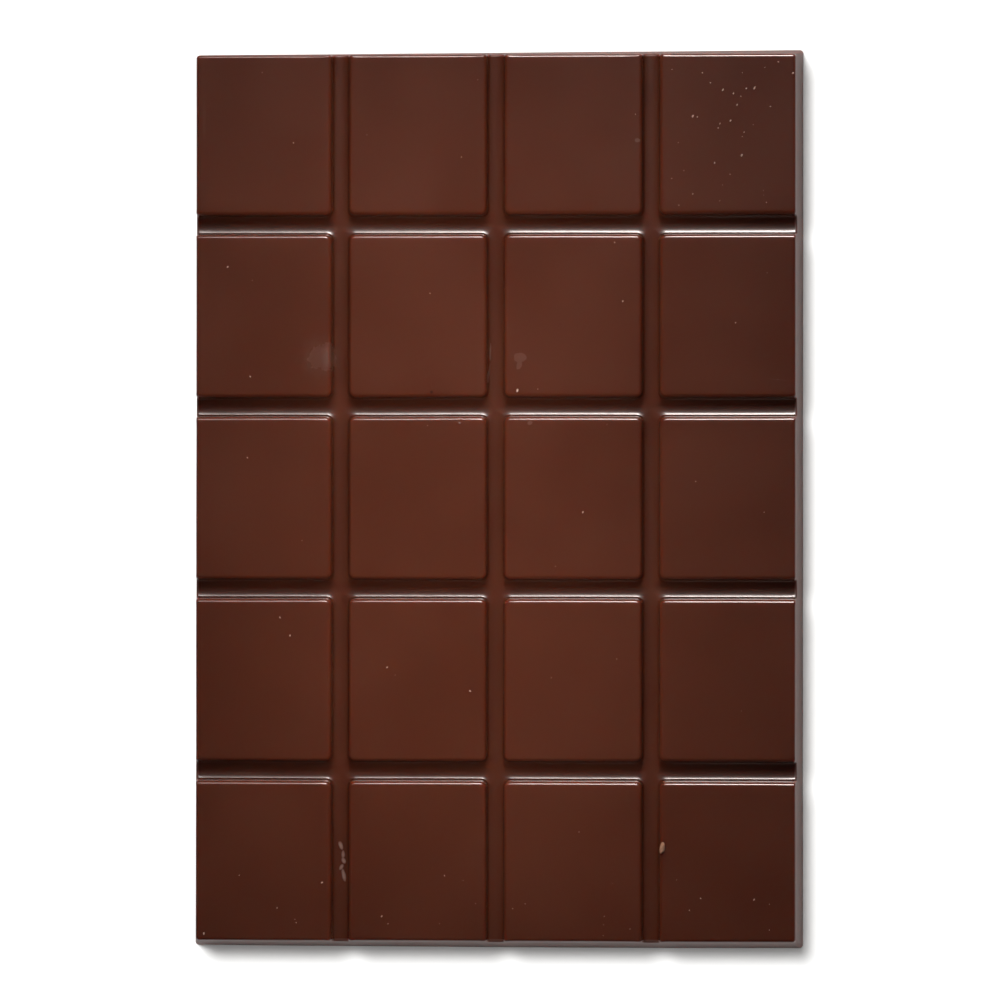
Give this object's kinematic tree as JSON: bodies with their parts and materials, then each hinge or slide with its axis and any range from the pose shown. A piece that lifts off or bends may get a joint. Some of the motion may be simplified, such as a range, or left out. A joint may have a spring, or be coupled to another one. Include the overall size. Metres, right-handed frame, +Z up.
{
  "type": "chocolate bar",
  "caption": "Flat rectangular tablet of moulded chocolate with a grid of plain raised pieces, grooves to snap it along, drafted sides and a flat back.",
  "frame": {"origin": "centre of the flat back, on the surface that the bar lies on", "axes": "+Z up out of the patterned face, +Y along the long side, +X along the short side"},
  "size_m": [0.0818, 0.121, 0.0086],
  "materials": {
    "chocolate": "satin tempered chocolate, mid brown"
  },
  "bodies": {
    "root": {"chocolate_bar": "chocolate"}
  },
  "joints": []
}
